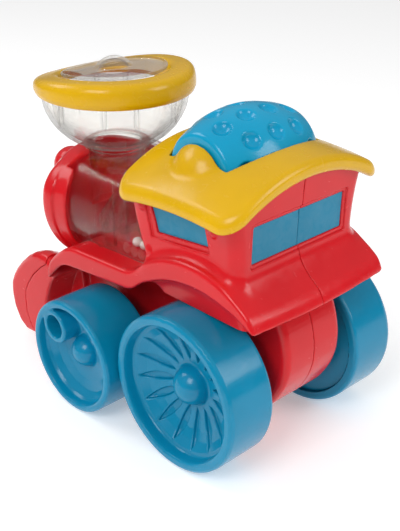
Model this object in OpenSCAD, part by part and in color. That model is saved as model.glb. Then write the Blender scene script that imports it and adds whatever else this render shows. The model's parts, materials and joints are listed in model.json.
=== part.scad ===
// Toy locomotive with a clear boiler, a funnel, a dimpled roller and a geared rear axle.
// +X is the front of the train, +Y its left side, +Z up. The wheels stand on z = 0.
// Working positions are measured from the rear axle; placed() moves the origin
// to the middle of the train's length.

/* [Wheels] */
// Distance between the two axles
wheelbase = 72.2; // [66:0.1:90]
// Rear wheel diameter
rear_d = 80; // [70:1:84]
// Rear wheel: distance from the centre plane to the inner face
rear_in = 30.4; // [29:0.1:34]
// Rear wheel: distance from the centre plane to the outer face
rear_out = 58.6; // [52:0.1:64]
// Front wheel diameter
front_d = 62; // [54:1:64]
// Front wheel: distance from the centre plane to the inner face
front_in = 32.5; // [31:0.1:36]
// Front wheel: distance from the centre plane to the outer face
front_out = 64; // [56:0.1:70]
// Steel axle diameter
axle_d = 4; // [3:0.1:5]
// Radial running clearance of every turning shaft
run_gap = 0.05; // [0.02:0.01:0.1]

/* [Body] */
// Width over the fenders
body_w = 93; // [86:1:104]
// Width of the cab
cab_w = 84; // [76:1:88]
// Width of the chassis box between the wheels
chassis_w = 40; // [34:1:48]
// Width of the nose and the bumper
nose_w = 84; // [70:1:88]
// Wall thickness of the mouldings
wall = 2.4; // [1.6:0.1:3]
// Distance from the rear axle back to the skirt edge
skirt_reach = 41.6; // [38:0.1:48]
// Distance from the rear axle forward to the tip of the bumper
nose_reach = 158.6; // [150:0.1:170]

/* [Roof] */
// Width over the eaves
roof_w = 104; // [96:1:120]
// Height of the roof's top above the ground
roof_top = 152.9; // [146:0.1:158]
// Radius of the roof's arch from eave to eave
roof_arch = 87.7; // [70:0.1:120]
// Radius of the roof's arch from front to back
roof_crown = 211; // [180:1:400]
// Thickness of the roof
roof_t = 8; // [3:0.5:9]

/* [Roller] */
// Greatest diameter of the roller
roller_d = 53.4; // [40:0.2:56]
// Diameter of the roller at its ends
roller_end_d = 38.2; // [30:0.2:48]
// Length of the roller
roller_l = 60; // [50:1:64]
// Dimple rows around the roller
dimple_rows = 12; // [8:2:16]

/* [Boiler and funnel] */
// Radius of the clear barrel
barrel_r = 36.6; // [30:0.2:38]
// Radius of the red front ring
ring_r = 39.6; // [34:0.2:42]
// Height of the boiler axis
boiler_z = 95.5; // [90:0.5:100]
// Height of the flat saddle under the funnel
saddle_z = 124; // [118:1:130]
// Diameter of the funnel cap
cap_d = 85; // [70:1:90]

/* [Gearbox] */
// Gear module
gear_m = 1; // [0.8:0.1:1.2]
// Teeth on the axle gear
axle_teeth = 28; // [24:1:32]
// Teeth on the idler pinion
idler_small = 12; // [10:1:14]
// Teeth on the idler wheel
idler_large = 30; // [24:1:34]
// Teeth on the flywheel pinion
fly_teeth = 10; // [9:1:12]

/* [Hidden] */
$fn = 96;

red = [0.86, 0.07, 0.10];
yellow = [0.98, 0.76, 0.04];
blue = [0.02, 0.50, 0.74];
flat_blue = [0.10, 0.48, 0.66];
clear = [0.90, 0.93, 0.95, 0.35];
steel = [0.72, 0.73, 0.75];
big = 400;

mid_x = (nose_reach - skirt_reach) / 2;
rear_z = rear_d / 2;
front_z = front_d / 2;
axle_r = axle_d / 2;
half_body = body_w / 2;
half_cab = cab_w / 2;
half_chassis = chassis_w / 2;
arch_y = 26;
lip_w = 2.4;

roller_x = 10.3;
roller_z = 140;
roller_half = roller_l / 2;
roller_sag = (roller_d - roller_end_d) / 2;
roller_arc = (roller_half * roller_half + roller_sag * roller_sag) / (2 * roller_sag);
boss_r = 15.2;
boss_h = 10;
roof_gap = 0.06;
boss_y = roller_half + 0.5;
boss_ball = (boss_r * boss_r + boss_h * boss_h) / (2 * boss_h);

cap_x = 105;
neck_r = 15;
bowl_r = 39;
bowl_top = 154.3;
bowl_bottom = 126;
ring_x = 105;
ring_l = 16;
barrel_wall = 2;
deck_z = 84;

idler_at = [0, rear_z + (axle_teeth + idler_small) * gear_m / 2];
fly_at = [-(idler_large + fly_teeth) * gear_m / 2, idler_at[1]];
pressure = 25;
tooth_slack = 0.1;
plate_y = 12;
plate_t = 1.5;
post_at = [[-22, 34], [17, 50], [-14, 77]];
screw_at = [[34, 22], [34, 70], [98, 22], [122, 50]];
roof_post_at = [[-15, 33], [32, 33]];
lamp_at = [147, 101];
lamp_r = 10.5;
crest_x = 75;
crest_r = 278;
lens_top = 171.8;

// ---------- helpers ----------

module placed() {
    translate([-mid_x, 0, 0]) children();
}

// a shape drawn in x and z, given a width across the train
module across(w) {
    rotate([90, 0, 0]) linear_extrude(w, center = true) children();
}

// a shape drawn in x and z, running from y = a to y = b
module across_from(a, b) {
    translate([0, b, 0]) rotate([90, 0, 0]) linear_extrude(b - a) children();
}

// a round bar across the train at [x, z]
module bar(at, r, a, b) {
    translate([at[0], b, at[1]]) rotate([90, 0, 0]) cylinder(r = r, h = b - a);
}

// a profile drawn as [radius, distance out], turned about the line across the train at [x, z]
module wheel_turned(at) {
    translate([at[0], 0, at[1]]) rotate([-90, 0, 0]) rotate_extrude() children();
}

module left_half() {
    intersection() {
        children();
        translate([-big / 2, 0, -big / 2]) cube([big, big, big]);
    }
}

module right_half() {
    intersection() {
        children();
        translate([-big / 2, -big, -big / 2]) cube([big, big, big]);
    }
}

module rounded(w, h, r) {
    translate([r, 0]) square([w - 2 * r, h]);
    translate([0, r]) square([w, h - 2 * r]);
    for (x = [r, w - r], y = [r, h - r]) {
        translate([x, y]) circle(r);
    }
}

// ---------- side outlines, in x and z ----------

// everything under the top edge of the fenders
module under_deck(inset) {
    translate([-1, 46.8]) circle(57 - inset);
    polygon([[41 - inset, 0], [41 - inset, 85.2 - inset], [92 - inset, 82 - inset],
        [98.6 - inset, 78.1 - inset], [106.4 - inset, 71.9 - inset],
        [111.7 - inset, 65.2 - inset], [113 - inset, 60 - inset], [113 - inset, 0]]);
}

// everything under the lower edge of the fender lip
module under_lip() {
    translate([-4, 29.1]) circle(65.4);
    polygon([[40, 0], [40, 76.4], [97.7, 70.3], [102.4, 67.4], [107.4, 62.5], [112.6, 57],
        [117.1, 51], [120, 45], [122.4, 38.9], [124.4, 30.4], [124.4, 0]]);
}

module chassis_side(inset) {
    offset(delta = -inset)
        polygon([[-30, 88], [-36.5, 73], [-38.6, 58], [-36.6, 42], [-28, 29], [-16, 18],
            [-4, 13], [16, 11], [110, 11], [120, 14], [126, 22], [126, 60], [104, 72],
            [44, 80], [20, 97], [-20, 97]]);
}

// line on which the bumper meets the nose, from the bottom up
bumper_line = [[136, 10.4], [140.4, 16.9], [142.6, 22], [142.8, 30], [141.8, 36.2],
    [139.1, 41.1], [133.2, 49], [125.5, 56.2], [119.5, 60.6]];

module nose_side(inset) {
    offset(delta = -inset)
        polygon(concat([[108, 10]], bumper_line,
            [[113, 60], [109, 56], [106.2, 44], [105.4, 31], [106.2, 18]]));
}

module bumper_side(inset) {
    offset(delta = -inset)
        polygon(concat(bumper_line, [[119.5, 65], [127, 64.6], [132.5, 62.4], [139, 58.2],
            [145.6, 52.8], [150.9, 47.6], [155, 42], [157.6, 37], [158.6, 32.6], [158.6, 28],
            [157, 20.1], [151.8, 12], [145, 8.2], [138.5, 8.6]]));
}

module cab_side(inset) {
    offset(delta = -inset)
        polygon([[-28.6, 90], [-27, 98], [-25.6, 107], [-25.4, 126], [-27, 145], [-27, 160],
            [46.5, 160], [46.3, 124], [45.6, 118], [44.4, 112], [42.2, 104], [39.4, 96],
            [36.4, 88]]);
}

module side_glass() {
    polygon([[31, 122.3], [-4.3, 124.6], [-6.3, 113.3], [27.9, 109.6]]);
}

module side_frame() {
    polygon([[35.2, 123.6], [-5.6, 126.4], [-7.6, 111.2], [33, 105.8]]);
}

// ---------- roof ----------

// everything under the roof's domed top, lowered by drop
module under_roof(drop) {
    translate([0, 0, roof_top - drop - roof_crown]) rotate([90, 0, 0])
        rotate_extrude($fn = 360) translate([roof_crown - roof_arch, 0])
            circle(roof_arch, $fn = 180);
}

// ---------- body mouldings ----------

module deck_skin() {
    intersection() {
        across(body_w) difference() {
            under_deck(0);
            under_deck(wall);
            under_lip();
        }
        translate([-skirt_reach, -half_body, 24]) cube([big, body_w, big]);
    }
}

module fender_lips() {
    for (s = [-1, 1]) {
        intersection() {
            across_from(min(s * half_body, s * (half_body - lip_w)),
                max(s * half_body, s * (half_body - lip_w))) difference() {
                under_deck(0);
                under_lip();
            }
            translate([-skirt_reach, -half_body, 24]) cube([big, body_w, big]);
        }
    }
    translate([-skirt_reach, -half_body, 82.6]) cube([wall, body_w, 6.6]);
}

module cab_shell() {
    difference() {
        intersection() {
            across(cab_w) cab_side(0);
            under_roof(roof_t + roof_gap);
        }
        across(cab_w - 2 * wall) cab_side(wall);
        translate([-big / 2, -big / 2, 0]) cube([big, big, 88]);
        // side window openings and their outer frames
        across(cab_w + 2) side_glass();
        for (s = [-1, 1]) {
            across_from(min(s * (half_cab - 1.1), s * big), max(s * (half_cab - 1.1), s * big))
                side_frame();
        }
        // rear window openings and their outer frames
        translate([-40, -30.6, 108]) cube([20, 61.2, 17.8]);
        translate([-40, -31.9, 106.6]) cube([13.6, 63.8, 20.8]);
    }
    for (s = [-1, 1], p = [[36.2, 121.6], [33, 98.8], [-12.6, 104.6], [-12.6, 123.2]]) {
        translate([p[0], s * half_cab, p[1]]) sphere(wall);
    }
    // shelves that carry the roof screws, held by the front wall and the side walls
    for (s = [-1, 1], p = roof_post_at) {
        difference() {
            if (p[0] > roller_x) {
                translate([p[0] - 4, s * p[1] - 4, 114]) cube([16, 8, 4]);
            } else {
                translate([p[0] - 4, s * p[1] - (s > 0 ? 4 : 7.6), 114]) cube([8, 11.6, 4]);
            }
            translate([p[0], s * p[1], 110]) cylinder(r = 1.7, h = 12);
        }
    }
}

module chassis_box() {
    difference() {
        union() {
            difference() {
                across(chassis_w) chassis_side(0);
                across(chassis_w - 2 * wall) chassis_side(wall);
            }
            for (p = post_at, s = [-1, 1]) {
                bar(p, 3, min(s * (plate_y + plate_t), s * (half_chassis - 1)),
                    max(s * (plate_y + plate_t), s * (half_chassis - 1)));
            }
            for (p = screw_at) {
                bar(p, 4.2, -half_chassis + 1, half_chassis - 1);
            }
        }
        bar([0, rear_z], axle_r + run_gap, -big, big);
        bar([wheelbase, front_z], axle_r + run_gap, -big, big);
        // upright recess in the gear housing behind the wheels
        intersection() {
            translate([-38.6, -12.5, 40]) cube([3, 7, 30]);
            across(chassis_w) difference() {
                chassis_side(0);
                chassis_side(1);
            }
        }
    }
}

module nose_box() {
    difference() {
        across(nose_w) nose_side(0);
        across(nose_w - 2 * wall) nose_side(wall);
        // the wheel arches cut into the nose
        for (s = [-1, 1]) {
            across_from(min(s * arch_y, s * big), max(s * arch_y, s * big)) under_lip();
        }
    }
    // inner walls of the arches
    for (s = [-1, 1]) {
        across_from(min(s * arch_y, s * (arch_y - wall)), max(s * arch_y, s * (arch_y - wall)))
            intersection() {
                nose_side(0);
                under_lip();
            }
    }
    across(nose_w - 2 * wall) intersection() {
        nose_side(0);
        difference() {
            offset(delta = wall) under_lip();
            under_lip();
        }
    }
}

module body_shell() {
    difference() {
        union() {
            difference() {
                union() {
                    deck_skin();
                    fender_lips();
                }
                // the floor of the cab is open to the chassis
                translate([-18, -15, 84]) cube([50, 30, 30]);
            }
            difference() {
                cab_shell();
                across(body_w) under_deck(wall);
            }
            difference() {
                chassis_box();
                across_from(-half_body, half_body) difference() {
                    translate([-100, 0]) square([300, 200]);
                    under_deck(0.6);
                }
            }
            difference() {
                nose_box();
                across(2 * arch_y - 2 * wall) translate([60, 14]) square([70, 40]);
            }
        }
        // holes for the body screws and their heads
        for (p = screw_at) {
            bar(p, 1.5, -big, half_chassis - 4);
            bar(p, 3.6, -big, -half_chassis + 3);
        }
        // seat of the boiler front
        translate([ring_x - 0.1, 0, boiler_z]) rotate([0, 90, 0]) cylinder(r = ring_r + 0.1, h = 60);
    }
}

module body_left() {
    color(red) placed() left_half() body_shell();
}

module body_right() {
    color(red) placed() right_half() body_shell();
}

module bumper() {
    color(red) placed() difference() {
        across(nose_w) bumper_side(0);
        across(nose_w - 2 * wall) bumper_side(wall);
        translate([ring_x - 0.1, 0, boiler_z]) rotate([0, 90, 0]) cylinder(r = ring_r + 0.1, h = 60);
    }
}

// ---------- boiler ----------

module boiler_front() {
    color(red) placed() difference() {
        translate([ring_x, 0, boiler_z]) rotate([0, 90, 0]) union() {
            cylinder(r = ring_r - 1.6, h = ring_l - 5);
            translate([0, 0, 3]) cylinder(r = ring_r, h = ring_l - 6);
            cylinder(r = ring_r - 4, h = ring_l);
            cylinder(r = ring_r - 9, h = ring_l + 4);
        }
        translate([ring_x - 1, 0, boiler_z]) rotate([0, 90, 0]) cylinder(r = ring_r - 12, h = ring_l + 2.6);
        translate([ring_x - 1, 0, boiler_z]) rotate([0, 90, 0]) cylinder(r = ring_r - 5, h = ring_l - 4);
        // the flattened crown of the ring
        difference() {
            translate([0, -60, 90]) cube([200, 120, 80]);
            translate([0, 0, saddle_z - 1 - 58.8]) rotate([0, 90, 0])
                cylinder(r = 58.8, h = 300, $fn = 180);
        }
        translate([cap_x, 0, 60]) cylinder(r = neck_r + 0.1, h = 100);
        translate([ring_x - 1, 0, lamp_at[1]]) rotate([0, 90, 0]) cylinder(r = 1.7, h = 40);
    }
}

// ball-shaped headlamp on a short stalk
module headlamp() {
    color(red) placed() difference() {
        union() {
            translate([lamp_at[0], 0, lamp_at[1]]) sphere(lamp_r);
            translate([ring_x + ring_l + 4, 0, lamp_at[1]]) rotate([0, 90, 0])
                cylinder(r = lamp_r - 1.6, h = lamp_at[0] - ring_x - ring_l - 4);
            translate([ring_x + ring_l + 4, 0, lamp_at[1]]) rotate([0, 90, 0])
                cylinder(r = lamp_r, h = 3);
        }
        translate([ring_x + ring_l, 0, lamp_at[1]]) rotate([0, 90, 0]) cylinder(r = 1.4, h = 18);
    }
}

module barrel_solid(r) {
    difference() {
        translate([20, 0, boiler_z]) rotate([0, 90, 0]) cylinder(r = r, h = ring_x - 20);
        across(100) cab_side(0);
        translate([-10, -60, saddle_z]) cube([200, 120, 40]);
        across(100) under_deck(0);
    }
}

module boiler_shell() {
    color(clear) placed() difference() {
        barrel_solid(barrel_r);
        difference() {
            translate([20, 0, boiler_z]) rotate([0, 90, 0])
                cylinder(r = barrel_r - barrel_wall, h = 200);
            translate([-10, -60, saddle_z - barrel_wall]) cube([300, 120, 40]);
        }
        translate([cap_x, 0, 60]) cylinder(r = neck_r + 0.1, h = 100);
    }
}

module boiler_divider() {
    color(clear) placed() intersection() {
        union() {
            translate([74.4, -40, 60]) cube([1.6, 80, 80]);
            for (i = [-3:3]) {
                translate([75.2, i * 8.4, 60]) cylinder(r = 2.6, h = 80);
            }
        }
        translate([20, 0, boiler_z]) rotate([0, 90, 0]) cylinder(r = barrel_r - barrel_wall - 0.2, h = 80);
        translate([0, -60, deck_z + 1.4]) cube([200, 120, saddle_z - deck_z - 4]);
    }
}

module bead_spreader() {
    color(clear) placed() translate([93, 0, deck_z - 2]) difference() {
        union() {
            cylinder(r1 = 15, r2 = 5, h = 24.5);
            for (i = [0:8]) {
                rotate([0, 0, i * 40]) rotate([0, -17, 0])
                    translate([13, 0, 3.4]) cylinder(r = 2.2, h = 20);
            }
            translate([0, 0, 24.5]) sphere(4.9);
        }
        translate([0, 0, -1]) cylinder(r1 = 12.6, r2 = 2.4, h = 24);
        translate([-30, -30, -40]) cube([60, 60, 40.9]);
    }
}

bead_r = 2.6;
bead_floor = deck_z + 1.6 + bead_r;

module bead_row(first, count, y0) {
    for (i = [0:count - 1]) {
        translate([first + i * 5.6, y0, bead_floor]) sphere(bead_r);
    }
}

module beads_pink() {
    color([0.93, 0.22, 0.50]) placed() {
        bead_row(49, 4, 14);
        bead_row(52, 3, -8);
        translate([54.6, 14, bead_floor + 5]) sphere(bead_r);
    }
}

module beads_orange() {
    color([0.97, 0.52, 0.12]) placed() {
        bead_row(50, 4, 4);
        bead_row(49, 4, -20);
        translate([57.8, 4, bead_floor + 5]) sphere(bead_r);
    }
}

module beads_white() {
    color([0.94, 0.93, 0.90]) placed() {
        bead_row(52, 3, 23);
        bead_row(54.4, 3, -14);
    }
}

// ---------- funnel ----------

function bowl_edge(a, inset) =
    [(bowl_r - inset) * cos(a), bowl_top + (bowl_top - bowl_bottom + 3 - inset) * sin(a)];
bowl_steps = 20;

module bowl_side() {
    intersection() {
        polygon(concat(
            [for (i = [0:bowl_steps]) bowl_edge(-i * 90 / bowl_steps, 0)],
            [for (i = [bowl_steps:-1:0]) bowl_edge(-i * 90 / bowl_steps, 2)]));
        translate([neck_r - 2, bowl_bottom]) square([60, 60]);
    }
}

module funnel_neck() {
    color(clear) placed() translate([cap_x, 0, 0]) difference() {
        union() {
            translate([0, 0, 112]) cylinder(r = neck_r, h = 14);
            translate([0, 0, saddle_z]) cylinder(r = neck_r + 2.6, h = 2);
        }
        translate([0, 0, 100]) cylinder(r = neck_r - 2, h = 40);
    }
}

module funnel_bowl() {
    color(clear) placed() translate([cap_x, 0, 0]) difference() {
        union() {
            rotate_extrude() bowl_side();
            for (i = [0:5]) {
                rotate([0, 0, i * 60 + 16]) translate([27, 0, 134]) cylinder(r = 3, h = 17.5);
            }
        }
        for (i = [0:5]) {
            rotate([0, 0, i * 60 + 16]) translate([27, 0, 140]) cylinder(r = 1.3, h = 14.5);
        }
        translate([0, 0, 100]) cylinder(r = neck_r - 2, h = 40);
    }
}

// everything under the drooping top of the funnel, at this height over its crest
module under_crest(height) {
    translate([crest_x, 0, height - crest_r]) rotate([90, 0, 0])
        cylinder(r = crest_r, h = 200, center = true, $fn = 720);
}

module funnel_cap() {
    color(yellow) placed() intersection() {
        translate([cap_x, 0, bowl_top]) rotate_extrude() {
            translate([28, 0]) rounded(cap_d / 2 - 28, 16, 3);
        }
        under_crest(166.8);
    }
}

module funnel_lens() {
    color(clear) placed() difference() {
        union() {
            intersection() {
                translate([cap_x, 0, 158]) cylinder(r = 27.9, h = 14);
                under_crest(167.8);
            }
            intersection() {
                translate([cap_x, 0, 160]) cylinder(r = 10.1, h = 20);
                translate([cap_x, 0, lens_top - 11.7]) sphere(11.7);
            }
        }
        intersection() {
            translate([cap_x, 0, 150]) cylinder(r = 26, h = 30);
            under_crest(165.8);
        }
        translate([cap_x, 0, lens_top - 13]) sphere(11.2);
    }
}

// ---------- roof and roller ----------

module barrel_profile(grow) {
    intersection() {
        translate([roller_d / 2 - roller_arc, 0]) circle(r = roller_arc + grow, $fn = 180);
        translate([0, -roller_half - grow]) square([100, roller_l + 2 * grow]);
    }
}

module roof() {
    color(yellow) placed() difference() {
        union() {
            intersection() {
                translate([-31.7, -roof_w / 2, 110]) linear_extrude(60) rounded(79.2, roof_w, 11);
                difference() {
                    under_roof(0);
                    under_roof(roof_t);
                }
            }
            for (s = [-1, 1]) {
                difference() {
                    translate([roller_x, s * (boss_y + boss_h - boss_ball), roller_z])
                        sphere(boss_ball);
                    translate([-50, s > 0 ? boss_y - 60 : -boss_y, 100]) cube([120, 60, 80]);
                    translate([-50, -60, 80]) cube([120, 120, 60]);
                }
            }
            for (s = [-1, 1], p = roof_post_at) {
                translate([p[0], s * p[1], 118]) cylinder(r = 3.2, h = 22);
            }
        }
        translate([roller_x, 0, roller_z]) rotate([90, 0, 0]) rotate_extrude() barrel_profile(0.5);
        bar([roller_x, roller_z], axle_r + run_gap, -boss_y - 6.6, boss_y + 6.6);
        for (s = [-1, 1], p = roof_post_at) {
            translate([p[0], s * p[1], 110]) cylinder(r = 1.2, h = 19);
        }
    }
}

module roof_screws() {
    color(steel) placed() for (s = [-1, 1], p = roof_post_at) {
        translate([p[0], s * p[1], 0]) {
            translate([0, 0, 112]) cylinder(r = 2.9, h = 2);
            translate([0, 0, 113]) cylinder(r = 1.2, h = 15);
        }
    }
}

function dimple_count(row) = row % 2 == 0 ? 3 : 4;
dimple_pitch = 15;
dimple_ball = 4.6;

module roller() {
    color(blue) placed() translate([roller_x, 0, roller_z]) rotate([90, 0, 0]) difference() {
        rotate_extrude() barrel_profile(0);
        rotate_extrude() difference() {
            barrel_profile(-3);
            square([8, 200], center = true);
        }
        translate([0, 0, -100]) cylinder(r = axle_r, h = 200);
        for (row = [0:dimple_rows - 1], i = [0:dimple_count(row) - 1]) {
            let (y = (i - (dimple_count(row) - 1) / 2) * dimple_pitch)
                rotate([0, 0, row * 360 / dimple_rows + 15]) translate([roller_d / 2
                    - roller_arc + sqrt(roller_arc * roller_arc - y * y) + 2.6, 0, -y])
                    sphere(dimple_ball);
        }
    }
}

module roller_shaft() {
    color(steel) placed() bar([roller_x, roller_z], axle_r, -boss_y - 6.4, boss_y + 6.4);
}

// ---------- windows ----------

module side_pane(side) {
    across_from(min(side * (half_cab - wall), side * (half_cab - wall - 1.6)),
        max(side * (half_cab - wall), side * (half_cab - wall - 1.6))) side_frame();
}

module rear_pane(side) {
    translate([-22.9, side > 0 ? 0.1 : -33.1, 105.6]) cube([1.6, 33, 21.6]);
}

module window_side_left() {
    color(flat_blue) placed() side_pane(1);
}

module window_side_right() {
    color(flat_blue) placed() side_pane(-1);
}

module window_rear_left() {
    color(flat_blue) placed() rear_pane(1);
}

module window_rear_right() {
    color(flat_blue) placed() rear_pane(-1);
}

// ---------- rear wheels ----------

dish_r = 34.4;
hub_face = 43;

module rear_profile() {
    difference() {
        translate([0, rear_in]) rounded(rear_d / 2, rear_out - rear_in, 1.8);
        square([1.99, 100]);
        translate([-50, 0]) square([50, 100]);
        // concave outer dish
        polygon([[9, hub_face], [18, hub_face + 1.6], [26, hub_face + 5], [31.5, hub_face + 9],
            [dish_r, hub_face + 12.6], [dish_r + 0.6, 60], [0, 60], [0, hub_face]]);
        // hollow behind the dish
        polygon([[6, 30], [35, 30], [35, hub_face + 7], [31, hub_face + 3.6],
            [25.4, hub_face + 0.6], [17, hub_face - 2.2], [6, hub_face - 3.4]]);
    }
}

groove_count = 16;
groove_ball = 20;
groove_gap = 18;

// a pointed leaf, long in x
module leaf() {
    intersection() {
        translate([0, groove_gap]) circle(groove_ball);
        translate([0, -groove_gap]) circle(groove_ball);
    }
}

// a left wheel; the right one is its mirror image
module rear_wheel() {
    difference() {
        union() {
            wheel_turned([0, rear_z]) rear_profile();
            translate([0, hub_face - 0.4, rear_z]) rotate([-90, 0, 0]) intersection() {
                sphere(9.4);
                cylinder(r = 9.4, h = 20);
            }
        }
        for (i = [0:groove_count - 1]) {
            translate([0, hub_face - 1, rear_z]) rotate([-90, 0, 0])
                rotate([0, 0, (i + 0.5) * 360 / groove_count]) translate([22.4, 0, 1.1])
                rotate([0, -20, 0]) linear_extrude(12) leaf();
        }
        bar([0, rear_z], axle_r, 0, hub_face + 4);
    }
}

module rear_wheel_left() {
    color(blue) placed() rear_wheel();
}

module rear_wheel_right() {
    color(blue) placed() mirror([0, 1, 0]) rear_wheel();
}

module wheel_back(at, side, inner, r) {
    color(blue) placed() difference() {
        bar(at, r, min(side * inner, side * (inner + 1.8)), max(side * inner, side * (inner + 1.8)));
        bar(at, 6.1, -big, big);
    }
}

module rear_back_left() {
    wheel_back([0, rear_z], 1, rear_in + 1.2, 34.9);
}

module rear_back_right() {
    wheel_back([0, rear_z], -1, rear_in + 1.2, 34.9);
}

module rear_axle() {
    color(steel) placed() bar([0, rear_z], axle_r, -hub_face - 3.6, hub_face + 3.6);
}

// ---------- front wheels ----------

front_face = 52;
crank_at = [12.9, 12.9];
crank_r = 9.2;
crank_bore = 6.4;

module front_profile() {
    difference() {
        translate([0, front_in]) rounded(front_d / 2, front_out - front_in, 1.6);
        square([1.99, 100]);
        translate([-50, 0]) square([50, 100]);
        polygon([[7, front_face], [16, front_face + 1.4], [22.4, front_face + 4.6],
            [26.2, front_face + 8.4], [27, 66], [0, 66], [0, front_face]]);
        polygon([[6, 30], [26.6, 30], [26.6, front_face + 4], [21.6, front_face + 1.6],
            [15, front_face - 1.6], [6, front_face - 3]]);
    }
}

module front_wheel() {
    difference() {
        union() {
            wheel_turned([wheelbase, front_z]) front_profile();
            translate([wheelbase, front_face - 0.4, front_z]) rotate([-90, 0, 0]) intersection() {
                sphere(7.4);
                cylinder(r = 7.4, h = 20);
            }
            bar([wheelbase + crank_at[0], front_z + crank_at[1]], crank_r,
                front_face - 5, front_out - 0.6);
        }
        bar([wheelbase, front_z], axle_r, 0, front_face + 4);
        bar([wheelbase + crank_at[0], front_z + crank_at[1]], crank_bore, front_face - 2.6, big);
    }
}

module front_wheel_left() {
    color(blue) placed() front_wheel();
}

module front_wheel_right() {
    color(blue) placed() mirror([0, 1, 0]) front_wheel();
}

module front_back_left() {
    wheel_back([wheelbase, front_z], 1, front_in + 1.2, 26.5);
}

module front_back_right() {
    wheel_back([wheelbase, front_z], -1, front_in + 1.2, 26.5);
}

module front_axle() {
    color(steel) placed() bar([wheelbase, front_z], axle_r, -front_face - 3.6, front_face + 3.6);
}

// ---------- gearbox ----------

function spin(r, a) = [r * cos(a), r * sin(a)];
function roll_off(base, r) =
    r <= base ? 0 : sqrt(r * r / (base * base) - 1) * 180 / PI - acos(base / r);
function half_tooth(pitch_r, base, teeth, r) = 90 / teeth - tooth_slack / pitch_r * 180 / PI
    + roll_off(base, pitch_r) - roll_off(base, max(r, base));
flank_steps = 5;

module spur(teeth, turn) {
    let (pitch_r = teeth * gear_m / 2, base = teeth * gear_m / 2 * cos(pressure),
        low = teeth * gear_m / 2 - 1.05 * gear_m, high = teeth * gear_m / 2 + 0.8 * gear_m)
        rotate(turn) polygon([for (i = [0:teeth - 1], k = [0:2 * flank_steps + 1])
            let (up = k <= flank_steps, j = up ? k : 2 * flank_steps + 1 - k,
                r = low + (high - low) * j / flank_steps,
                a = half_tooth(pitch_r, base, teeth, r))
                spin(r, i * 360 / teeth + (up ? -a : a))]);
}

// turn that puts a tooth gap of the driven gear on a tooth of the driving gear
function mesh_turn(line, turn, driver, driven) =
    line + 180 + 180 / driven - (turn - line) * driver / driven;

idler_turn = mesh_turn(90, 0, axle_teeth, idler_small);
fly_turn = mesh_turn(180, idler_turn, idler_large, fly_teeth);

module gear_at(at, teeth, turn, a, b, bore) {
    difference() {
        translate([at[0], 0, at[1]]) across_from(a, b) spur(teeth, turn);
        bar(at, bore, a - 1, b + 1);
    }
}

module axle_gear() {
    color([0.93, 0.93, 0.90]) placed() gear_at([0, rear_z], axle_teeth, 0, -8, -4, axle_r);
}

module idler_gear() {
    color([0.93, 0.93, 0.90]) placed() {
        gear_at(idler_at, idler_small, idler_turn, -8.4, -3.6, 1.5);
        gear_at(idler_at, idler_large, idler_turn, 0, 4, 1.5);
        difference() {
            bar(idler_at, 4, -3.7, 0.1);
            bar(idler_at, 1.5, -20, 20);
        }
    }
}

module idler_shaft() {
    color(steel) placed() bar(idler_at, 1.5, -14.4, 14.4);
}

module flywheel_pinion() {
    color([0.80, 0.62, 0.25]) placed() gear_at(fly_at, fly_teeth, fly_turn, -0.4, 4.4, 1.5);
}

module flywheel() {
    color(steel) placed() difference() {
        union() {
            bar(fly_at, 12.6, 6, 11);
            bar(fly_at, 3.4, 4.4, 6.1);
        }
        bar(fly_at, 1.5, 0, 20);
    }
}

module flywheel_shaft() {
    color(steel) placed() bar(fly_at, 1.5, -14.4, 14.4);
}

module plate_outline() {
    polygon([[-27, 40], [-21, 29.5], [21, 29.5], [21, 82], [-20, 82], [-27, 70]]);
}

module gearbox_plate(side) {
    difference() {
        union() {
            across_from(min(side * plate_y, side * (plate_y + plate_t)),
                max(side * plate_y, side * (plate_y + plate_t))) plate_outline();
            if (side > 0) {
                for (p = post_at) {
                    bar(p, 2.4, -plate_y, plate_y + 0.1);
                }
            }
        }
        bar([0, rear_z], axle_r + 0.4, -big, big);
        bar(idler_at, 1.5 + run_gap, -big, big);
        bar(fly_at, 1.5 + run_gap, -big, big);
    }
}

module gearbox_plate_left() {
    color([0.25, 0.26, 0.28]) placed() gearbox_plate(1);
}

module gearbox_plate_right() {
    color([0.25, 0.26, 0.28]) placed() gearbox_plate(-1);
}

module body_screws() {
    color(steel) placed() for (p = screw_at) {
        bar(p, 3.2, -half_chassis + 1.2, -half_chassis + 3);
        bar(p, 1.5, -half_chassis + 2.9, half_chassis - 6);
    }
}

body_left();
body_right();
bumper();
boiler_front();
headlamp();
boiler_shell();
boiler_divider();
bead_spreader();
beads_pink();
beads_orange();
beads_white();
funnel_neck();
funnel_bowl();
funnel_cap();
funnel_lens();
roof();
roof_screws();
roller();
roller_shaft();
window_side_left();
window_side_right();
window_rear_left();
window_rear_right();
rear_axle();
rear_wheel_left();
rear_wheel_right();
rear_back_left();
rear_back_right();
axle_gear();
front_axle();
front_wheel_left();
front_wheel_right();
front_back_left();
front_back_right();
idler_gear();
idler_shaft();
flywheel();
flywheel_pinion();
flywheel_shaft();
gearbox_plate_left();
gearbox_plate_right();
body_screws();
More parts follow.
